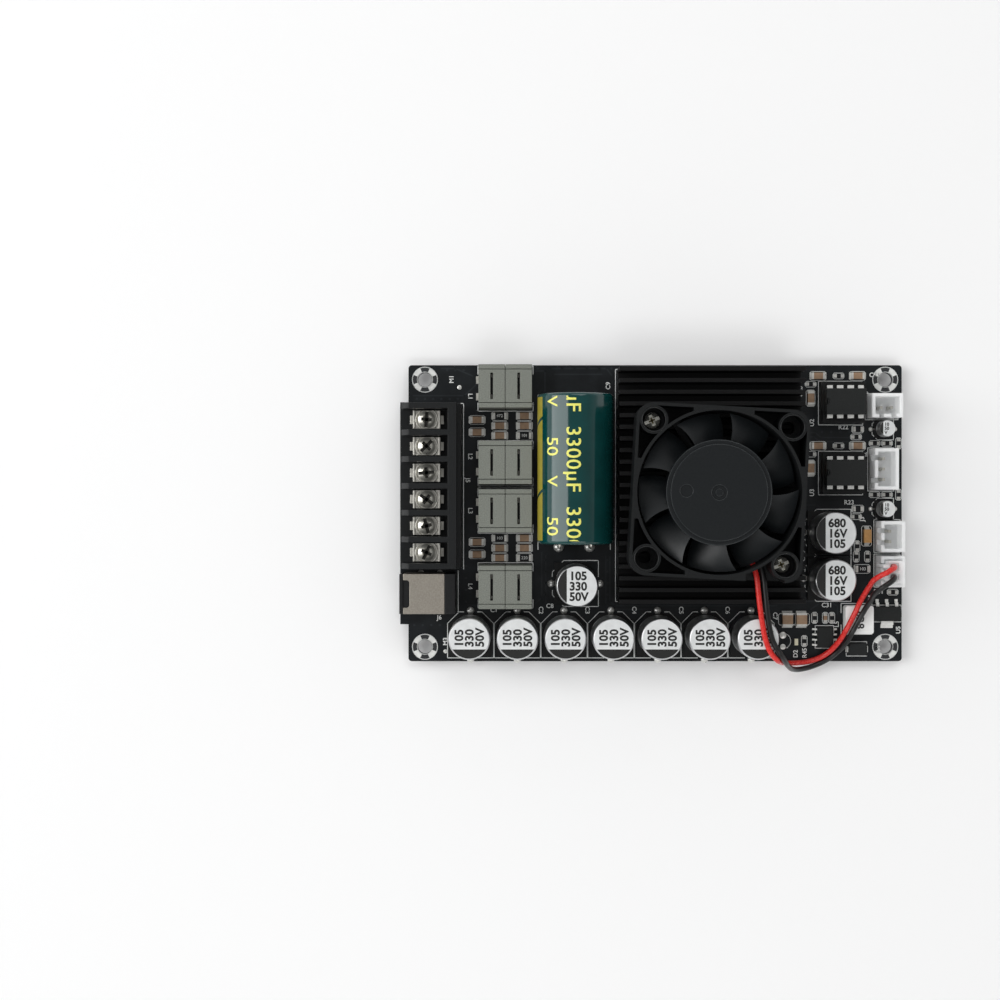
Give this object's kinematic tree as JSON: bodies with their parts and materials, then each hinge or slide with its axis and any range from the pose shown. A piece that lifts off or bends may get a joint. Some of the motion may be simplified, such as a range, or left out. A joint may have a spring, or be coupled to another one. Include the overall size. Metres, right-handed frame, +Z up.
{
  "type": "audio amplifier board",
  "caption": "Black audio amplifier board with a fan on a finned heatsink, screw terminals, a power jack, inductors, capacitors and plug-in op-amps.",
  "frame": {"origin": "middle of the four mounting holes, on the underside of the board", "axes": "+X along the board's long side, away from the screw terminal; +Y towards the rear edge; +Z up from the component side"},
  "size_m": [0.122, 0.0742, 0.0259],
  "materials": {
    "board": "satin black solder mask",
    "black_moulding": "matt moulded",
    "tinned_metal": "tinned",
    "screw_metal": "plated",
    "shield_metal": "satin plated",
    "ferrite": "matt grey",
    "ferrite_black": "matt",
    "copper": "bare copper",
    "can_metal": "drawn can",
    "sleeve": "shrunk sleeve",
    "rubber": "matt",
    "black_aluminium": "black anodised",
    "thermal_pad": "soft",
    "chip_moulding": "matt moulded",
    "fan_moulding": "satin moulded",
    "bronze": "sintered",
    "core_steel": "laminated",
    "red_insulation": "satin",
    "black_insulation": "satin",
    "white_moulding": "satin",
    "white_choke": "matt",
    "chip_ceramic": "matt",
    "chip_black": "glazed",
    "tantalum": "moulded",
    "led": "clear"
  },
  "bodies": {
    "base": {"circuit_board": "board", "terminal_housing": "black_moulding", "terminal_contacts": "tinned_metal", "jack_housing": "black_moulding", "jack_shield": "shield_metal", "jack_pin": "tinned_metal", "jack_spring": "tinned_metal", "inductor_coils": "copper", "bulk_capacitor_can": "can_metal", "bulk_capacitor_sleeve": "sleeve", "bulk_capacitor_seal": "rubber", "bulk_capacitor_leads": "tinned_metal", "rail_capacitors": "can_metal", "supply_capacitors": "can_metal", "input_capacitors": "can_metal", "capacitor_bases": "black_moulding", "capacitor_feet": "tinned_metal", "heatsink": "black_aluminium", "thermal_pad": "thermal_pad", "amplifier_chip": "chip_moulding", "heatsink_screws": "screw_metal", "fan_frame": "fan_moulding", "fan_bearing": "bronze", "fan_stator": "core_steel", "fan_coils": "copper", "fan_screws": "screw_metal", "fan_wire_red": "red_insulation", "fan_wire_black": "black_insulation", "fan_plug": "white_moulding", "header_housings": "white_moulding", "connector_pins": "tinned_metal", "opamp_sockets": "black_moulding", "opamps": "chip_moulding", "chip_packages": "chip_moulding", "chip_leads": "tinned_metal", "converter_inductor": "white_choke", "chip_capacitors": "chip_ceramic", "chip_resistors": "chip_black", "chip_end_caps": "tinned_metal", "tantalum_capacitor": "tantalum", "status_led": "led", "inductor_core_1": "ferrite", "inductor_core_2": "ferrite", "inductor_core_3": "ferrite", "inductor_core_4": "ferrite"},
    "rotor": {"fan_rotor": "fan_moulding", "fan_magnet": "ferrite_black", "fan_shaft": "screw_metal"},
    "clamp_1": {"terminal_clamp_1": "tinned_metal"},
    "screw_1": {"terminal_screw_1": "screw_metal"},
    "clamp_2": {"terminal_clamp_2": "tinned_metal"},
    "screw_2": {"terminal_screw_2": "screw_metal"},
    "clamp_3": {"terminal_clamp_3": "tinned_metal"},
    "screw_3": {"terminal_screw_3": "screw_metal"},
    "clamp_4": {"terminal_clamp_4": "tinned_metal"},
    "screw_4": {"terminal_screw_4": "screw_metal"},
    "clamp_5": {"terminal_clamp_5": "tinned_metal"},
    "screw_5": {"terminal_screw_5": "screw_metal"},
    "clamp_6": {"terminal_clamp_6": "tinned_metal"},
    "screw_6": {"terminal_screw_6": "screw_metal"}
  },
  "joints": [
    {"name": "fan_spin", "type": "hinge", "parent": "base", "child": "rotor", "pos_m": [0.01307, 0.00495, 0.0191], "axis": [0, 0, 1], "continuous": true},
    {"name": "clamp_lift_1", "type": "slide", "parent": "base", "child": "clamp_1", "axis": [0, 0, 1], "range_m": [0, 0.0015]},
    {"name": "screw_turn_1", "type": "hinge", "parent": "clamp_1", "child": "screw_1", "pos_m": [-0.0552, -0.0093, 0.0085], "axis": [0, 0, 1], "range_deg": [0, 1083]},
    {"name": "clamp_lift_2", "type": "slide", "parent": "base", "child": "clamp_2", "axis": [0, 0, 1], "range_m": [0, 0.0015]},
    {"name": "screw_turn_2", "type": "hinge", "parent": "clamp_2", "child": "screw_2", "pos_m": [-0.0552, -0.00295, 0.0085], "axis": [0, 0, 1], "range_deg": [0, 1083]},
    {"name": "clamp_lift_3", "type": "slide", "parent": "base", "child": "clamp_3", "axis": [0, 0, 1], "range_m": [0, 0.0015]},
    {"name": "screw_turn_3", "type": "hinge", "parent": "clamp_3", "child": "screw_3", "pos_m": [-0.0552, 0.0034, 0.0085], "axis": [0, 0, 1], "range_deg": [0, 1083]},
    {"name": "clamp_lift_4", "type": "slide", "parent": "base", "child": "clamp_4", "axis": [0, 0, 1], "range_m": [0, 0.0015]},
    {"name": "screw_turn_4", "type": "hinge", "parent": "clamp_4", "child": "screw_4", "pos_m": [-0.0552, 0.00975, 0.0085], "axis": [0, 0, 1], "range_deg": [0, 1083]},
    {"name": "clamp_lift_5", "type": "slide", "parent": "base", "child": "clamp_5", "axis": [0, 0, 1], "range_m": [0, 0.0015]},
    {"name": "screw_turn_5", "type": "hinge", "parent": "clamp_5", "child": "screw_5", "pos_m": [-0.0552, 0.0161, 0.0085], "axis": [0, 0, 1], "range_deg": [0, 1083]},
    {"name": "clamp_lift_6", "type": "slide", "parent": "base", "child": "clamp_6", "axis": [0, 0, 1], "range_m": [0, 0.0015]},
    {"name": "screw_turn_6", "type": "hinge", "parent": "clamp_6", "child": "screw_6", "pos_m": [-0.0552, 0.02245, 0.0085], "axis": [0, 0, 1], "range_deg": [0, 1083]}
  ],
  "couplings": [
    {"joint": "screw_turn_1", "follows": "clamp_lift_1", "rad_per_m": 12566},
    {"joint": "screw_turn_2", "follows": "clamp_lift_2", "rad_per_m": 12566},
    {"joint": "screw_turn_3", "follows": "clamp_lift_3", "rad_per_m": 12566},
    {"joint": "screw_turn_4", "follows": "clamp_lift_4", "rad_per_m": 12566},
    {"joint": "screw_turn_5", "follows": "clamp_lift_5", "rad_per_m": 12566},
    {"joint": "screw_turn_6", "follows": "clamp_lift_6", "rad_per_m": 12566}
  ]
}
